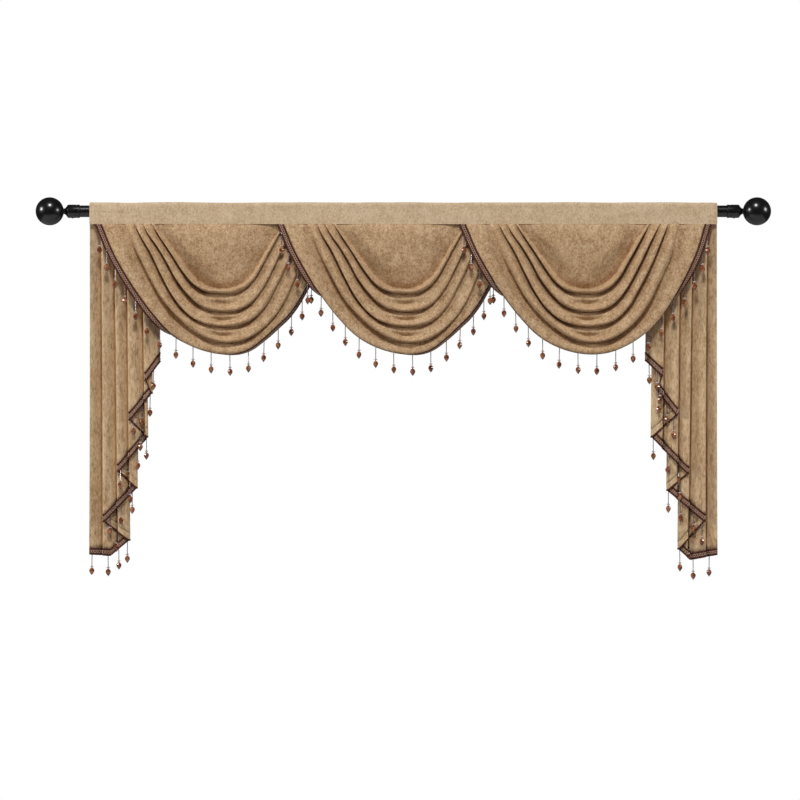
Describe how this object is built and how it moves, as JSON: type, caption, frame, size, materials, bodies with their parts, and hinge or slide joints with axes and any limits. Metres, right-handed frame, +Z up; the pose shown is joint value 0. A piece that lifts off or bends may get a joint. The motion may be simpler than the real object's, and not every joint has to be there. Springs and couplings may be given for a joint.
{
  "type": "swag valance on a curtain rod",
  "caption": "Swag valance with a rod-pocket heading, overlapping cowl swags, pleated cascade tails and beaded braid, on a rod with ball finials and wall brackets.",
  "frame": {"origin": "on the wall, midway between the two wall plates, at the height of the rod's axis", "axes": "+X along the rod to the right as seen from the room, +Y into the wall, +Z up"},
  "size_m": [1.7612, 0.1339, 0.9159],
  "materials": {
    "chenille": "speckled tan chenille, matte with a soft sheen",
    "braid": "woven braid, dark borders with a light lattice between them, and amber bead drops",
    "black_metal": "gloss black"
  },
  "bodies": {
    "root": {"heading": "chenille", "swag_left": "chenille", "swag_middle": "chenille", "swag_right": "chenille", "tail_left": "chenille", "tail_right": "chenille", "trim_swag_left": "braid", "trim_swag_middle": "braid", "trim_swag_right": "braid", "trim_tail_left": "braid", "trim_tail_right": "braid", "rod": "black_metal", "finial_left": "black_metal", "finial_right": "black_metal", "bracket_left": "black_metal", "bracket_right": "black_metal"}
  },
  "joints": []
}
